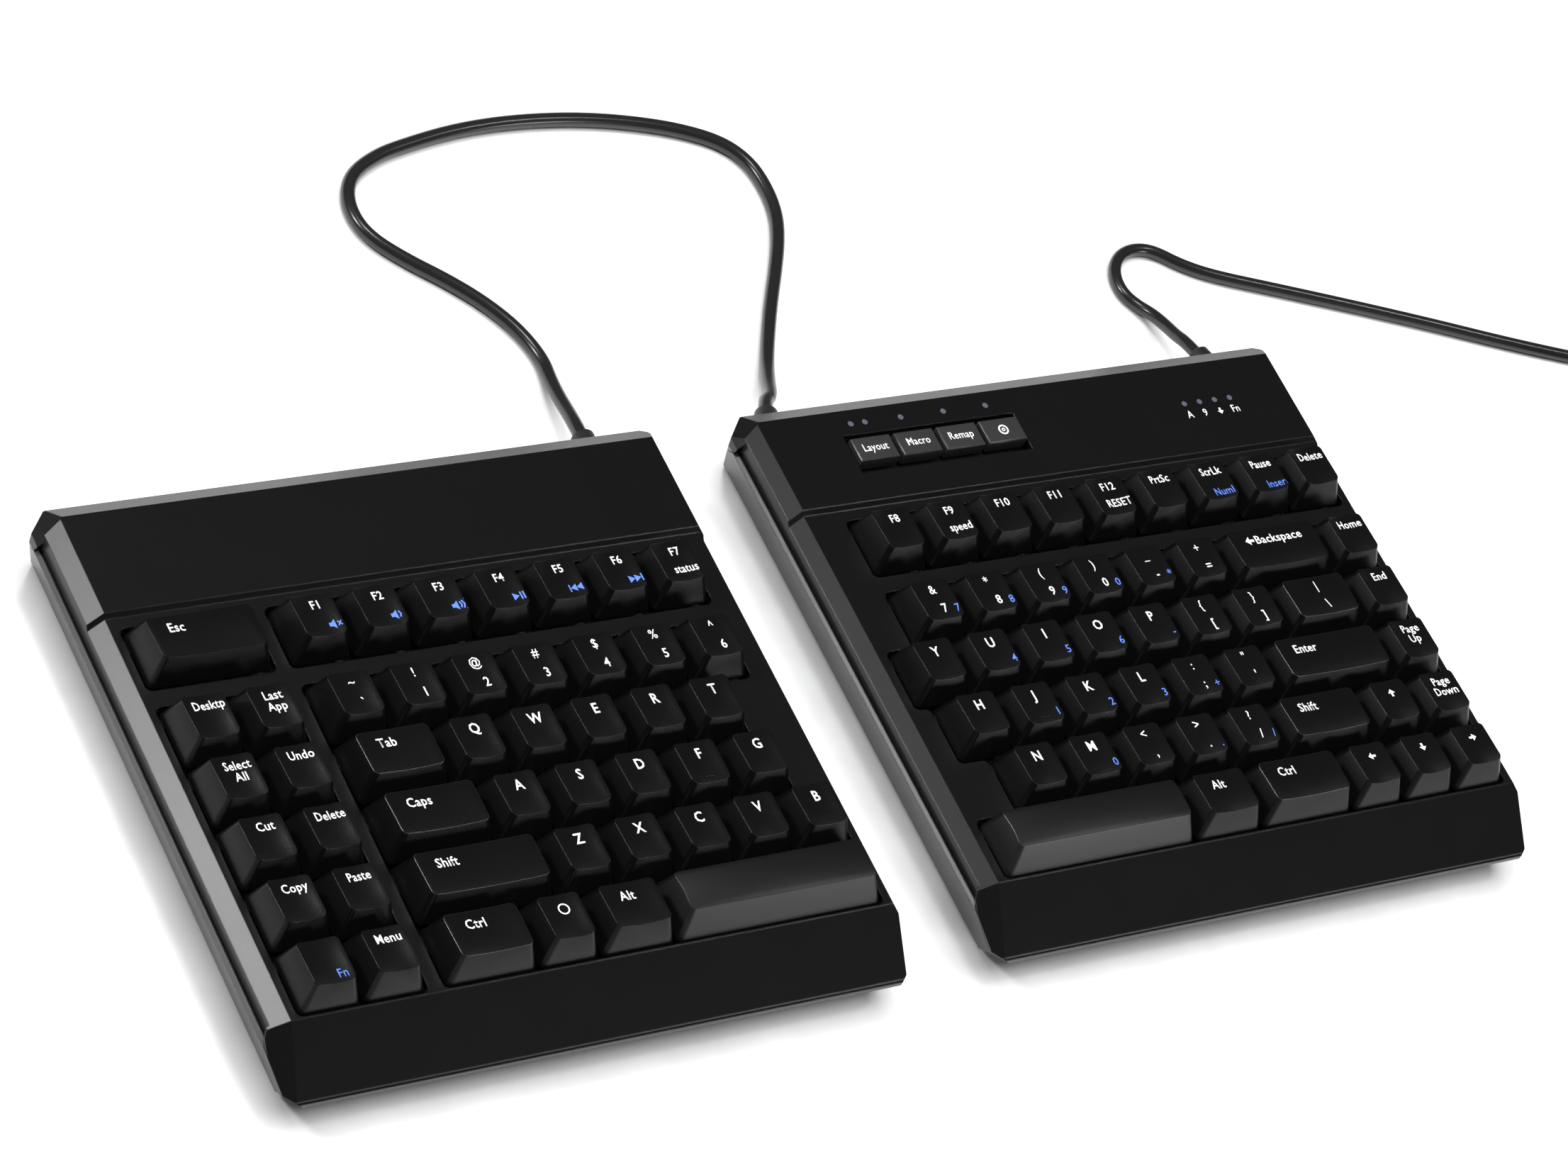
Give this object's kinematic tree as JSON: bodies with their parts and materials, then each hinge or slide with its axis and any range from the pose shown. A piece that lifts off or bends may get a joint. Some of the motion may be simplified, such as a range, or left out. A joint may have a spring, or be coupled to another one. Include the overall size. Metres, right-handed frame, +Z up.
{
  "type": "ergonomic split keyboard",
  "caption": "Low mechanical keyboard in two halves joined by a cord, with sculpted keys, wide spacebars, a tented left edge, a long front slope and small programming buttons.",
  "frame": {"origin": "on the desk, under the middle of the two halves' outline", "axes": "+X to the user's right, +Y away from the user, +Z up"},
  "size_m": [0.6147, 0.3082, 0.031],
  "materials": {
    "left_top_case": "fine matte, left side in light grey",
    "right_top_case": "fine matte",
    "base_plastic": "fine matte",
    "plate_metal": "black",
    "board": "solder mask",
    "switch_plastic": "satin",
    "foot_rubber": "matte",
    "screw_steel": "plain",
    "cord_jacket": "glossy black",
    "plug": "black grip with a bright metal shell",
    "light_pipe": "translucent",
    "button_plastic": "satin black",
    "key_plastic": "fine textured black"
  },
  "bodies": {
    "left_module": {"left_top_case": "left_top_case", "left_bottom_case": "base_plastic", "left_switch_plate": "plate_metal", "left_circuit_board": "board", "left_switch_housings": "switch_plastic", "left_stabilizers": "switch_plastic", "left_feet": "foot_rubber", "left_case_screws": "screw_steel", "left_link_strain_relief": "cord_jacket", "link_cord": "cord_jacket"},
    "right_module": {"right_top_case": "right_top_case", "right_bottom_case": "base_plastic", "right_switch_plate": "plate_metal", "right_circuit_board": "board", "right_switch_housings": "switch_plastic", "right_stabilizers": "switch_plastic", "right_feet": "foot_rubber", "right_case_screws": "screw_steel", "right_link_strain_relief": "cord_jacket", "right_usb_strain_relief": "cord_jacket", "right_button_board": "board", "right_light_pipes": "light_pipe", "usb_cord": "cord_jacket", "usb_cord_coil": "cord_jacket", "usb_plug": "plug"},
    "left_key_escape": {"left_key_escape": "key_plastic"},
    "left_keys_function_row": {"left_keys_function_row": "key_plastic"},
    "left_keys_side_columns": {"left_keys_side_columns": "key_plastic"},
    "left_keys_number_row": {"left_keys_number_row": "key_plastic"},
    "left_key_tab": {"left_key_tab": "key_plastic"},
    "left_keys_top_letters": {"left_keys_top_letters": "key_plastic"},
    "left_key_caps_lock": {"left_key_caps_lock": "key_plastic"},
    "left_keys_home_letters": {"left_keys_home_letters": "key_plastic"},
    "left_key_shift": {"left_key_shift": "key_plastic"},
    "left_keys_bottom_letters": {"left_keys_bottom_letters": "key_plastic"},
    "left_key_control": {"left_key_control": "key_plastic"},
    "left_key_system": {"left_key_system": "key_plastic"},
    "left_key_alt": {"left_key_alt": "key_plastic"},
    "left_key_space": {"left_key_space": "key_plastic"},
    "right_keys_function_row": {"right_keys_function_row": "key_plastic"},
    "right_keys_number_row": {"right_keys_number_row": "key_plastic"},
    "right_key_backspace": {"right_key_backspace": "key_plastic"},
    "right_keys_navigation_column": {"right_keys_navigation_column": "key_plastic"},
    "right_keys_top_letters": {"right_keys_top_letters": "key_plastic"},
    "right_key_backslash": {"right_key_backslash": "key_plastic"},
    "right_keys_home_letters": {"right_keys_home_letters": "key_plastic"},
    "right_key_enter": {"right_key_enter": "key_plastic"},
    "right_keys_bottom_letters": {"right_keys_bottom_letters": "key_plastic"},
    "right_key_shift": {"right_key_shift": "key_plastic"},
    "right_key_up": {"right_key_up": "key_plastic"},
    "right_key_space": {"right_key_space": "key_plastic"},
    "right_key_alt": {"right_key_alt": "key_plastic"},
    "right_key_control": {"right_key_control": "key_plastic"},
    "right_key_left": {"right_key_left": "key_plastic"},
    "right_key_down": {"right_key_down": "key_plastic"},
    "right_key_right": {"right_key_right": "key_plastic"},
    "layout_button": {"layout_button": "button_plastic"},
    "macro_button": {"macro_button": "button_plastic"},
    "remap_button": {"remap_button": "button_plastic"},
    "program_button": {"program_button": "button_plastic"}
  },
  "joints": [
    {"name": "halves_slide", "type": "slide", "parent": "left_module", "child": "right_module", "axis": [1, 0, 0], "range_m": [-0.0268, 0.2], "deforming": ["link_cord"]},
    {"name": "left_key_escape_press", "type": "slide", "parent": "left_module", "child": "left_key_escape", "axis": [0, 0, -1], "range_m": [0, 0.004], "stiffness_N_per_m": 140, "springref_m": -0.003},
    {"name": "left_keys_function_row_press", "type": "slide", "parent": "left_module", "child": "left_keys_function_row", "axis": [0, 0, -1], "range_m": [0, 0.004], "stiffness_N_per_m": 980, "springref_m": -0.003},
    {"name": "left_keys_side_columns_press", "type": "slide", "parent": "left_module", "child": "left_keys_side_columns", "axis": [0, 0, -1], "range_m": [0, 0.004], "stiffness_N_per_m": 1400, "springref_m": -0.003},
    {"name": "left_keys_number_row_press", "type": "slide", "parent": "left_module", "child": "left_keys_number_row", "axis": [0, 0, -1], "range_m": [0, 0.004], "stiffness_N_per_m": 980, "springref_m": -0.003},
    {"name": "left_key_tab_press", "type": "slide", "parent": "left_module", "child": "left_key_tab", "axis": [0, 0, -1], "range_m": [0, 0.004], "stiffness_N_per_m": 140, "springref_m": -0.003},
    {"name": "left_keys_top_letters_press", "type": "slide", "parent": "left_module", "child": "left_keys_top_letters", "axis": [0, 0, -1], "range_m": [0, 0.004], "stiffness_N_per_m": 700, "springref_m": -0.003},
    {"name": "left_key_caps_lock_press", "type": "slide", "parent": "left_module", "child": "left_key_caps_lock", "axis": [0, 0, -1], "range_m": [0, 0.004], "stiffness_N_per_m": 140, "springref_m": -0.003},
    {"name": "left_keys_home_letters_press", "type": "slide", "parent": "left_module", "child": "left_keys_home_letters", "axis": [0, 0, -1], "range_m": [0, 0.004], "stiffness_N_per_m": 700, "springref_m": -0.003},
    {"name": "left_key_shift_press", "type": "slide", "parent": "left_module", "child": "left_key_shift", "axis": [0, 0, -1], "range_m": [0, 0.004], "stiffness_N_per_m": 140, "springref_m": -0.003},
    {"name": "left_keys_bottom_letters_press", "type": "slide", "parent": "left_module", "child": "left_keys_bottom_letters", "axis": [0, 0, -1], "range_m": [0, 0.004], "stiffness_N_per_m": 700, "springref_m": -0.003},
    {"name": "left_key_control_press", "type": "slide", "parent": "left_module", "child": "left_key_control", "axis": [0, 0, -1], "range_m": [0, 0.004], "stiffness_N_per_m": 140, "springref_m": -0.003},
    {"name": "left_key_system_press", "type": "slide", "parent": "left_module", "child": "left_key_system", "axis": [0, 0, -1], "range_m": [0, 0.004], "stiffness_N_per_m": 140, "springref_m": -0.003},
    {"name": "left_key_alt_press", "type": "slide", "parent": "left_module", "child": "left_key_alt", "axis": [0, 0, -1], "range_m": [0, 0.004], "stiffness_N_per_m": 140, "springref_m": -0.003},
    {"name": "left_key_space_press", "type": "slide", "parent": "left_module", "child": "left_key_space", "axis": [0, 0, -1], "range_m": [0, 0.004], "stiffness_N_per_m": 140, "springref_m": -0.003},
    {"name": "right_keys_function_row_press", "type": "slide", "parent": "right_module", "child": "right_keys_function_row", "axis": [0, 0, -1], "range_m": [0, 0.004], "stiffness_N_per_m": 1260, "springref_m": -0.003},
    {"name": "right_keys_number_row_press", "type": "slide", "parent": "right_module", "child": "right_keys_number_row", "axis": [0, 0, -1], "range_m": [0, 0.004], "stiffness_N_per_m": 840, "springref_m": -0.003},
    {"name": "right_key_backspace_press", "type": "slide", "parent": "right_module", "child": "right_key_backspace", "axis": [0, 0, -1], "range_m": [0, 0.004], "stiffness_N_per_m": 140, "springref_m": -0.003},
    {"name": "right_keys_navigation_column_press", "type": "slide", "parent": "right_module", "child": "right_keys_navigation_column", "axis": [0, 0, -1], "range_m": [0, 0.004], "stiffness_N_per_m": 560, "springref_m": -0.003},
    {"name": "right_keys_top_letters_press", "type": "slide", "parent": "right_module", "child": "right_keys_top_letters", "axis": [0, 0, -1], "range_m": [0, 0.004], "stiffness_N_per_m": 980, "springref_m": -0.003},
    {"name": "right_key_backslash_press", "type": "slide", "parent": "right_module", "child": "right_key_backslash", "axis": [0, 0, -1], "range_m": [0, 0.004], "stiffness_N_per_m": 140, "springref_m": -0.003},
    {"name": "right_keys_home_letters_press", "type": "slide", "parent": "right_module", "child": "right_keys_home_letters", "axis": [0, 0, -1], "range_m": [0, 0.004], "stiffness_N_per_m": 840, "springref_m": -0.003},
    {"name": "right_key_enter_press", "type": "slide", "parent": "right_module", "child": "right_key_enter", "axis": [0, 0, -1], "range_m": [0, 0.004], "stiffness_N_per_m": 140, "springref_m": -0.003},
    {"name": "right_keys_bottom_letters_press", "type": "slide", "parent": "right_module", "child": "right_keys_bottom_letters", "axis": [0, 0, -1], "range_m": [0, 0.004], "stiffness_N_per_m": 700, "springref_m": -0.003},
    {"name": "right_key_shift_press", "type": "slide", "parent": "right_module", "child": "right_key_shift", "axis": [0, 0, -1], "range_m": [0, 0.004], "stiffness_N_per_m": 140, "springref_m": -0.003},
    {"name": "right_key_up_press", "type": "slide", "parent": "right_module", "child": "right_key_up", "axis": [0, 0, -1], "range_m": [0, 0.004], "stiffness_N_per_m": 140, "springref_m": -0.003},
    {"name": "right_key_space_press", "type": "slide", "parent": "right_module", "child": "right_key_space", "axis": [0, 0, -1], "range_m": [0, 0.004], "stiffness_N_per_m": 140, "springref_m": -0.003},
    {"name": "right_key_alt_press", "type": "slide", "parent": "right_module", "child": "right_key_alt", "axis": [0, 0, -1], "range_m": [0, 0.004], "stiffness_N_per_m": 140, "springref_m": -0.003},
    {"name": "right_key_control_press", "type": "slide", "parent": "right_module", "child": "right_key_control", "axis": [0, 0, -1], "range_m": [0, 0.004], "stiffness_N_per_m": 140, "springref_m": -0.003},
    {"name": "right_key_left_press", "type": "slide", "parent": "right_module", "child": "right_key_left", "axis": [0, 0, -1], "range_m": [0, 0.004], "stiffness_N_per_m": 140, "springref_m": -0.003},
    {"name": "right_key_down_press", "type": "slide", "parent": "right_module", "child": "right_key_down", "axis": [0, 0, -1], "range_m": [0, 0.004], "stiffness_N_per_m": 140, "springref_m": -0.003},
    {"name": "right_key_right_press", "type": "slide", "parent": "right_module", "child": "right_key_right", "axis": [0, 0, -1], "range_m": [0, 0.004], "stiffness_N_per_m": 140, "springref_m": -0.003},
    {"name": "layout_button_press", "type": "slide", "parent": "right_module", "child": "layout_button", "axis": [0, 0, -1], "range_m": [0, 0.0005], "stiffness_N_per_m": 400, "springref_m": -0.002},
    {"name": "macro_button_press", "type": "slide", "parent": "right_module", "child": "macro_button", "axis": [0, 0, -1], "range_m": [0, 0.0005], "stiffness_N_per_m": 400, "springref_m": -0.002},
    {"name": "remap_button_press", "type": "slide", "parent": "right_module", "child": "remap_button", "axis": [0, 0, -1], "range_m": [0, 0.0005], "stiffness_N_per_m": 400, "springref_m": -0.002},
    {"name": "program_button_press", "type": "slide", "parent": "right_module", "child": "program_button", "axis": [0, 0, -1], "range_m": [0, 0.0005], "stiffness_N_per_m": 400, "springref_m": -0.002}
  ]
}
